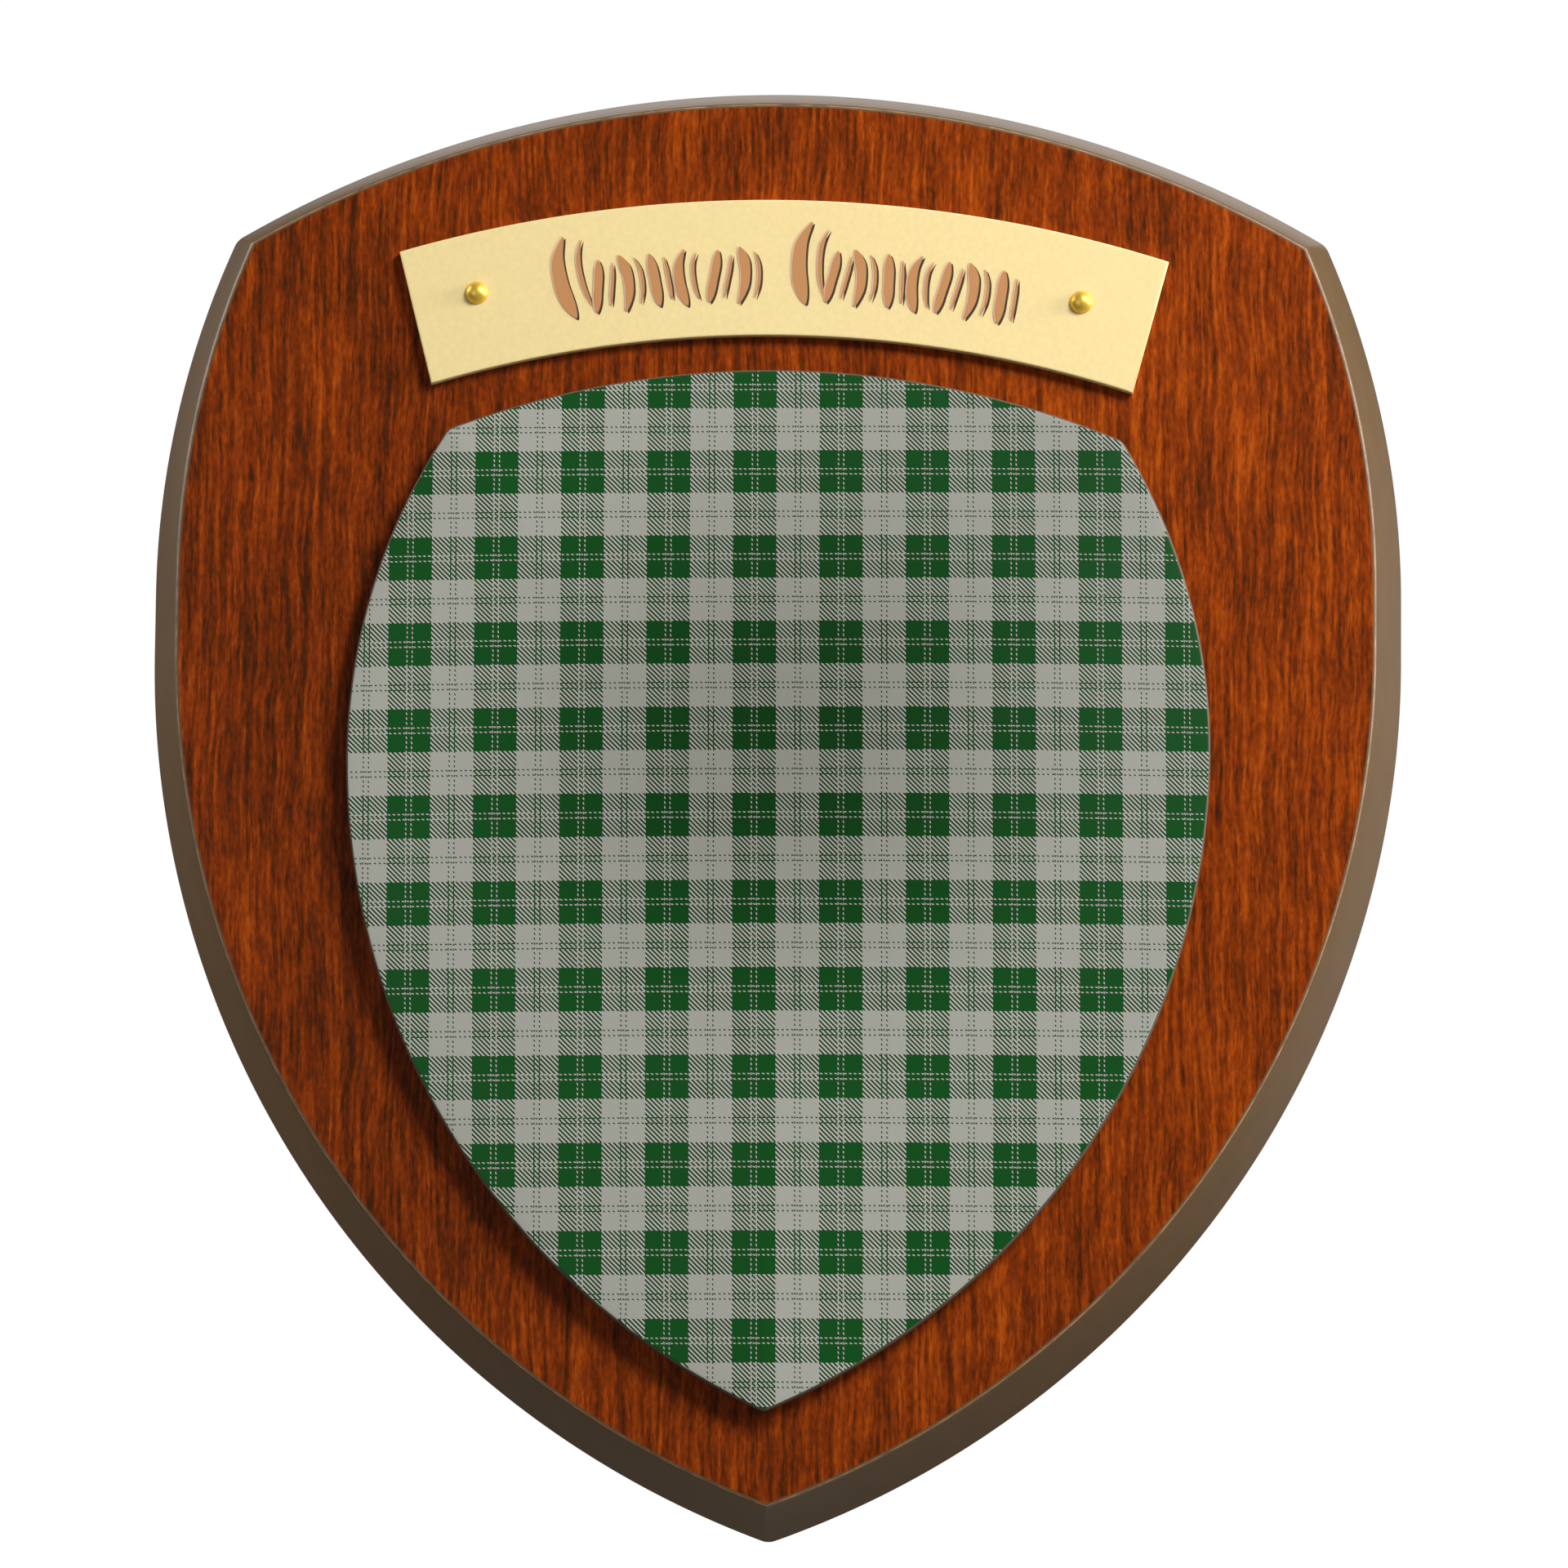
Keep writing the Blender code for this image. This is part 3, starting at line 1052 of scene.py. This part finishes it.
def new_geometry_tree(name: str, inputs: dict[str, str]) -> tuple[NodeTree, Node]:
    """Start a geometry node tree with named inputs.

    Args:
        name: The tree's name.
        inputs: Input names with their socket types.

    Returns:
        The tree and its group input node.
    """
    tree = bpy.data.node_groups.new(name, "GeometryNodeTree")
    tree.interface.new_socket("Geometry", in_out="INPUT", socket_type="NodeSocketGeometry")
    for label, kind in inputs.items():
        tree.interface.new_socket(label, in_out="INPUT", socket_type=kind)
    tree.interface.new_socket("Geometry", in_out="OUTPUT", socket_type="NodeSocketGeometry")
    return tree, add_node(tree, "NodeGroupInput")


def run_geometry_tree(name: str, tree: NodeTree, values: dict[str, object]) -> Mesh:
    """Run a tree once and keep its result as a plain mesh.

    Args:
        name: The mesh's name.
        tree: The tree.
        values: The value of each named input.

    Returns:
        The mesh.
    """
    carrier = link_object(name, bpy.data.meshes.new(name))
    modifier = carrier.modifiers.new(name, "NODES")
    modifier.node_group = tree
    identifiers = {
        item.name: item.identifier
        for item in tree.interface.items_tree
        if item.item_type == "SOCKET" and item.in_out == "INPUT"
    }
    for label, value in values.items():
        modifier[identifiers[label]] = value
    evaluated = carrier.evaluated_get(bpy.context.evaluated_depsgraph_get())
    mesh = bpy.data.meshes.new_from_object(evaluated)
    mesh.name = name
    bpy.data.objects.remove(carrier)
    return mesh


def give_out(tree: NodeTree, copies: Node, material: NodeSocket) -> None:
    """End a tree: make its instances real, with their material, and give them out."""
    real = add_node(tree, "GeometryNodeRealizeInstances", {"Geometry": copies.outputs[0]})
    inputs = {"Geometry": real.outputs[0], "Material": material}
    dressed = add_node(tree, "GeometryNodeSetMaterial", inputs)
    add_node(tree, "NodeGroupOutput", {"Geometry": dressed.outputs[0]})


@dataclass
class BrassPins:
    """Two round-headed pins, driven in by hand near the ends of the nameplate."""

    plate: Nameplate
    head_diameter: float = 2.8 * MM
    head_height: float = 1.0 * MM
    shank_diameter: float = 1.4 * MM
    shank_length: float = 8.5 * MM
    point_length: float = 1.6 * MM
    # Height of a head's rim above the nameplate.
    stand_off: float = 0.07 * MM
    head_sides: int = 48
    dome_steps: int = 14
    left_angle: float = math.radians(-14.2)
    left_above_middle: float = 1.0 * MM
    right_angle: float = math.radians(13.85)
    right_above_middle: float = 0.6 * MM

    def place(self, angle: float, above_middle: float) -> tuple[float, float, float]:
        """Find a pin's place from the crown of the nameplate.

        Args:
            angle: Round the nameplate's arc, clockwise from its middle.
            above_middle: Height above the middle of the strip.

        Returns:
            The middle of its head's rim, with the plaque lying on its back.
        """
        radius = self.plate.top_radius - self.plate.height / 2 + above_middle
        x = radius * math.sin(angle)
        y = radius * math.cos(angle) - self.plate.top_radius
        return (x, y, self.plate.front + self.stand_off)

    def template(self) -> Object:
        """One pin about z, with the middle of its head's rim at the origin."""
        head = self.head_diameter / 2
        shank = self.shank_diameter / 2
        dome_radius = (head**2 + self.head_height**2) / (2 * self.head_height)
        middle = self.head_height - dome_radius
        widest = math.asin(head / dome_radius)
        steps = self.dome_steps
        underside = -0.05 * MM
        profile = [
            (
                dome_radius * math.sin(widest * step / steps),
                middle + dome_radius * math.cos(widest * step / steps),
            )
            for step in range(steps + 1)
        ]
        profile += [
            (head * 0.97, underside),
            (shank, underside),
            (shank, self.point_length - self.shank_length),
            (0.0, -self.shank_length),
        ]
        turned = bmesh.new()
        corners = [turned.verts.new((x, 0.0, z)) for x, z in profile]
        edges = [turned.edges.new(pair) for pair in zip(corners, corners[1:])]
        bmesh.ops.spin(
            turned,
            geom=corners + edges,
            cent=(0.0, 0.0, 0.0),
            axis=(0.0, 0.0, 1.0),
            angle=2 * math.pi,
            steps=self.head_sides,
            use_merge=True,
        )
        bmesh.ops.remove_doubles(turned, verts=turned.verts, dist=0.001 * MM)
        bmesh.ops.recalc_face_normals(turned, faces=turned.faces)
        mesh = bpy.data.meshes.new("pin_template")
        turned.to_mesh(mesh)
        turned.free()
        return link_object("pin_template", mesh)

    def tree(self) -> NodeTree:
        """A pin at each of two places."""
        tree, given = new_geometry_tree(
            "pins at two places",
            {
                "Pin": "NodeSocketObject",
                "Left Place": "NodeSocketVector",
                "Right Place": "NodeSocketVector",
                "Material": "NodeSocketMaterial",
            },
        )
        line = {
            "Count": 2,
            "Start Location": given.outputs["Left Place"],
            "Offset": given.outputs["Right Place"],
        }
        places = add_node(tree, "GeometryNodeMeshLine", line, mode="END_POINTS")
        pin = add_node(tree, "GeometryNodeObjectInfo", {"Object": given.outputs["Pin"]})
        copied = {"Points": places.outputs[0], "Instance": pin.outputs["Geometry"]}
        copies = add_node(tree, "GeometryNodeInstanceOnPoints", copied)
        give_out(tree, copies, given.outputs["Material"])
        return tree

    def build(self) -> Object:
        """Make both pins as one piece."""
        template = self.template()
        brass = POLISHED_BRASS.build()
        mesh = run_geometry_tree(
            "pins",
            self.tree(),
            {
                "Pin": template,
                "Left Place": self.place(self.left_angle, self.left_above_middle),
                "Right Place": self.place(self.right_angle, self.right_above_middle),
                "Material": brass,
            },
        )
        bpy.data.objects.remove(template)
        stand_up(mesh, *self.plate.place, self.plate.turn)
        return finished_piece(
            "finished_pins", mesh, [brass], ("pin_left", "pin_right"), sharp=40.0
        )


def smooth_path(knots: list[Point], steps: int) -> list[Point]:
    """Draw a smooth line through knots.

    Args:
        knots: Points that the line passes through.
        steps: Steps between two knots.

    Returns:
        The points of the line.
    """
    ends = [knots[0], *knots, knots[-1]]
    points = [knots[0]]
    for before, start, end, after in zip(ends, ends[1:], ends[2:], ends[3:]):
        for step in range(1, steps + 1):
            t = step / steps
            point = []
            for axis in (0, 1):
                a, b, c, d = before[axis], start[axis], end[axis], after[axis]
                bend = (2 * a - 5 * b + 4 * c - d) * t**2 + (3 * b - a - 3 * c + d) * t**3
                point.append(b + ((c - a) * t + bend) / 2)
            points.append((point[0], point[1]))
    return points


@dataclass(frozen=True)
class BroadPen:
    """A broad pen: its stroke is wide across the nib, thin along it, and pointed at its ends."""

    widest: float = 1.35 * MM
    thinnest: float = 0.28 * MM
    slant: float = math.radians(40.0)
    point: float = 0.35

    def outline(self, path: list[Point]) -> list[Point]:
        """Outline of the stroke along a path."""
        left, right = [], []
        last = len(path) - 1
        for here, (x, y) in enumerate(path):
            before = path[max(here - 1, 0)]
            after = path[min(here + 1, last)]
            heading = math.atan2(after[1] - before[1], after[0] - before[0])
            across = abs(math.sin(heading - self.slant))
            width = self.thinnest + (self.widest - self.thinnest) * across
            from_end = min(here, last - here) / last
            width *= math.sin(math.pi / 2 * min(from_end / self.point + 0.05, 1.0))
            dx = -math.sin(heading) * width / 2
            dy = math.cos(heading) * width / 2
            left.append((x + dx, y + dy))
            right.append((x - dx, y - dy))
        return left + right[::-1]

    def hairline(self, path: list[Point]) -> list[Point]:
        """Outline of a thin stroke of the pen's edge along a path."""
        thin = BroadPen(self.thinnest * 1.3, self.thinnest, self.slant, self.point)
        return thin.outline(path)


@dataclass
class RowsOfStrokes:
    """Two rows of broad-pen strokes that stand for a name, following the nameplate's arc."""

    plate: Nameplate
    pen: BroadPen = BroadPen()
    stroke_height: float = 7.0 * MM
    path_steps: int = 8
    foot_above_lower_edge: float = 3.9 * MM
    first_scale: float = 1.45
    depth: float = 0.12 * MM
    most_lean: float = 0.05
    # Each row's name, count, first and last place along the arc, and seed.
    rows: tuple[tuple[str, int, float, float, int], ...] = (
        ("first", 7, -25.4 * MM, -4.9 * MM, 3),
        ("second", 8, 2.4 * MM, 25.8 * MM, 8),
    )

    def shapes(self) -> tuple[tuple[tuple[Point, ...], float], ...]:
        """Knots of each stroke in shares of its height, and how far right its hairline lies."""
        return (
            (((0.06, 1.0), (-0.06, 0.72), (-0.06, 0.34), (0.03, 0.0)), 0.25),
            (((0.08, 0.96), (0.04, 0.66), (-0.03, 0.32), (-0.08, 0.04)), 0.25),
            (((-0.06, 1.0), (0.04, 0.70), (0.04, 0.34), (-0.06, 0.0)), 0.24),
            (((-0.03, 0.97), (0.00, 0.66), (0.02, 0.34), (0.04, 0.03)), 0.24),
        )

    def templates(self) -> Collection:
        """The strokes as thin flat meshes, each standing on its foot at the origin."""
        store = bpy.data.collections.new("stroke_templates")
        bpy.context.scene.collection.children.link(store)
        tall = self.stroke_height
        for number, (knots, beside) in enumerate(self.shapes()):
            path = smooth_path([(x * tall, y * tall) for x, y in knots], self.path_steps)
            # The hairline is an eighth shorter at either end.
            shorter = len(path) // 8
            beside_path = [(x + beside * tall, y) for x, y in path[shorter:-shorter]]
            outlines = (self.pen.outline(path), self.pen.hairline(beside_path))
            joined = bmesh.new()
            for outline in outlines:
                rings = [at_height(outline, -self.depth), at_height(outline, 0.0)]
                mesh = skin_rings("line", rings)
                joined.from_mesh(mesh)
                bpy.data.meshes.remove(mesh)
            mesh = bpy.data.meshes.new(f"stroke_{number}")
            joined.to_mesh(mesh)
            joined.free()
            store.objects.link(bpy.data.objects.new(f"stroke_{number}", mesh))
        return store

    def tree(self) -> NodeTree:
        """Strokes in turn along an arc, the first one larger, each leaning a little by chance."""
        tree, given = new_geometry_tree(
            "strokes along an arc",
            {
                "Strokes": "NodeSocketCollection",
                "Count": "NodeSocketInt",
                "Arc Radius": "NodeSocketFloat",
                "Start Angle": "NodeSocketFloat",
                "Pitch Angle": "NodeSocketFloat",
                "First Scale": "NodeSocketFloat",
                "Seed": "NodeSocketInt",
                "Material": "NodeSocketMaterial",
            },
        )
        points = add_node(tree, "GeometryNodePoints", {"Count": given.outputs["Count"]})
        index = add_node(tree, "GeometryNodeInputIndex").outputs[0]
        pitch = given.outputs["Pitch Angle"]
        angle = math_node(tree, "MULTIPLY_ADD", index, pitch, given.outputs["Start Angle"])
        radius = given.outputs["Arc Radius"]
        across = math_node(tree, "MULTIPLY", math_node(tree, "SINE", angle), radius)
        up = math_node(tree, "MULTIPLY", math_node(tree, "COSINE", angle), radius)
        place = add_node(tree, "ShaderNodeCombineXYZ", {"X": across, "Y": up})
        moved = {"Geometry": points.outputs[0], "Position": place.outputs[0]}
        set_out = add_node(tree, "GeometryNodeSetPosition", moved)
        chance = add_node(
            tree,
            "FunctionNodeRandomValue",
            {2: -self.most_lean, 3: self.most_lean, "Seed": given.outputs["Seed"]},
            data_type="FLOAT",
        )
        lean = math_node(tree, "SUBTRACT", chance.outputs[1], angle)
        turned = add_node(tree, "ShaderNodeCombineXYZ", {"Z": lean})
        is_first = math_node(tree, "LESS_THAN", index, 0.5)
        size = mix_node(tree, "FLOAT", is_first, 1.0, given.outputs["First Scale"])
        strokes = add_node(
            tree,
            "GeometryNodeCollectionInfo",
            {
                "Collection": given.outputs["Strokes"],
                "Separate Children": True,
                "Reset Children": True,
            },
        )
        copies = add_node(
            tree,
            "GeometryNodeInstanceOnPoints",
            {
                "Points": set_out.outputs[0],
                "Instance": strokes.outputs[0],
                "Pick Instance": True,
                "Instance Index": math_node(tree, "MODULO", index, float(len(self.shapes()))),
                "Rotation": turned.outputs[0],
                "Scale": size,
            },
        )
        give_out(tree, copies, given.outputs["Material"])
        return tree

    def build(self) -> list[Object]:
        """Make both rows, one piece for each layer of each row."""
        store = self.templates()
        tree = self.tree()
        radius = self.plate.top_radius - self.plate.height + self.foot_above_lower_edge
        pieces = []
        for layer in StrokeLayer:
            finish = layer.material()
            for row, count, start, end, seed in self.rows:
                mesh = run_geometry_tree(
                    f"{row}_{layer.name.lower()}",
                    tree,
                    {
                        "Strokes": store,
                        "Count": count,
                        "Arc Radius": radius,
                        "Start Angle": start / radius,
                        "Pitch Angle": (end - start) / radius / (count - 1),
                        "First Scale": self.first_scale,
                        "Seed": seed,
                        "Material": finish,
                    },
                )
                shift = layer.shift + Vector((0.0, -self.plate.top_radius, self.plate.front))
                mesh.transform(Matrix.Translation(shift))
                stand_up(mesh, *self.plate.place, self.plate.turn)
                name = f"strokes_{row}_{layer.name.lower()}"
                pieces.append(finished_piece(name, mesh, [finish], ()))
        for spent in list(store.objects):
            bpy.data.objects.remove(spent)
        bpy.data.collections.remove(store)
        return pieces


# Studio


@dataclass(frozen=True)
class SoftLight:
    """A square soft light that faces the plaque."""

    name: str
    place: tuple[float, float, float]
    size: float
    power: float

    def build(self, target: Vector) -> None:
        """Hang the light and turn it to the target."""
        data = bpy.data.lights.new(self.name, "AREA")
        data.shape = "SQUARE"
        data.size = self.size
        data.energy = self.power
        lamp = link_object(self.name, data)
        lamp.location = self.place
        lamp.rotation_euler = (target - lamp.location).to_track_quat("-Z", "Y").to_euler()
        lamp.visible_camera = False


@dataclass
class Studio:
    """Floor, lights, backdrop and camera."""

    target: tuple[float, float, float] = (0.0010, 0.0, -0.0606)
    distance: float = 1.1
    azimuth: float = math.radians(1.25)
    elevation: float = math.radians(-7.485)
    roll: float = math.radians(0.552)
    lens: float = 207.2
    floor_height: float = -1.4
    front_light: float = 0.07
    rear_light: float = 0.04
    lights: tuple[SoftLight, ...] = (
        SoftLight("key", (0.484, -0.546, 0.433), 0.30, 9.0),
        SoftLight("right rim", (0.80, -0.15, 0.15), 0.30, 6.6),
        SoftLight("left rim", (-0.74, 0.12, 0.34), 0.40, 6.2),
        SoftLight("rear top", (0.02, 0.72, 0.36), 0.42, 0.78),
        SoftLight("right rear", (0.60, 0.80, -0.05), 0.50, 0.25),
        SoftLight("bottom rim", (0.10, 0.15, -0.78), 0.40, 0.6),
        SoftLight("front fill", (-0.55, -0.92, -0.10), 0.60, 1.5),
    )

    def build(self) -> None:
        """Set up the studio."""
        self.build_camera()
        self.build_world()
        self.build_floor()
        for light in self.lights:
            light.build(Vector(self.target))
        view = bpy.context.scene.view_settings
        view.view_transform = "Standard"
        view.look = "None"

    def build_camera(self) -> None:
        """Stand the camera where the photograph was taken from."""
        data = bpy.data.cameras.new("camera")
        data.sensor_width = 36.0
        data.lens = self.lens
        data.clip_start = 0.01
        data.clip_end = 100.0
        camera = link_object("camera", data)
        back = Vector(
            (
                math.sin(self.azimuth) * math.cos(self.elevation),
                -math.cos(self.azimuth) * math.cos(self.elevation),
                math.sin(self.elevation),
            )
        )
        camera.location = Vector(self.target) + back * self.distance
        aim = (-back).to_track_quat("-Z", "Y")
        camera.rotation_mode = "QUATERNION"
        camera.rotation_quaternion = aim @ Matrix.Rotation(self.roll, 3, "Z").to_quaternion()
        bpy.context.scene.camera = camera

    def build_world(self) -> None:
        """A white backdrop for the camera, and a dim surround that is dimmer behind the plaque."""
        world = bpy.data.worlds.new("studio")
        world.use_nodes = True
        bpy.context.scene.world = world
        tree = world.node_tree
        tree.nodes.clear()
        seen = add_node(tree, "ShaderNodeLightPath").outputs["Is Camera Ray"]
        heading = add_node(tree, "ShaderNodeTexCoord").outputs["Generated"]
        ends = (self.front_light, self.rear_light)
        strength = map_range(tree, axis_of(tree, heading, "Y"), (-0.3, 0.6), ends)
        dim = add_node(tree, "ShaderNodeBackground", {"Color": WHITE, "Strength": strength})
        white = add_node(tree, "ShaderNodeBackground", {"Color": WHITE, "Strength": 1.0})
        shares = {0: seen, 1: dim.outputs[0], 2: white.outputs[0]}
        both = add_node(tree, "ShaderNodeMixShader", shares)
        add_node(tree, "ShaderNodeOutputWorld", {"Surface": both.outputs[0]})

    def build_floor(self) -> None:
        """A pale floor, as far below the plaque as it usually hangs."""
        bpy.ops.mesh.primitive_plane_add(size=12.0, location=(0.0, 0.0, self.floor_height))
        floor = bpy.context.object
        floor.name = "floor"
        material, _, shader = new_material("pale floor")
        shader.inputs["Base Color"].default_value = (0.8, 0.8, 0.8, 1.0)
        shader.inputs["Roughness"].default_value = 0.9
        floor.data.materials.append(material)


def main() -> None:
    """Build the plaque and the studio."""
    logging.basicConfig(level=logging.INFO, format="%(message)s")
    PlaqueBoard().build()
    TartanShield().build()
    plate = Nameplate()
    plate.build()
    BrassPins(plate).build()
    RowsOfStrokes(plate).build()
    Studio().build()


if __name__ == "__main__":
    main()
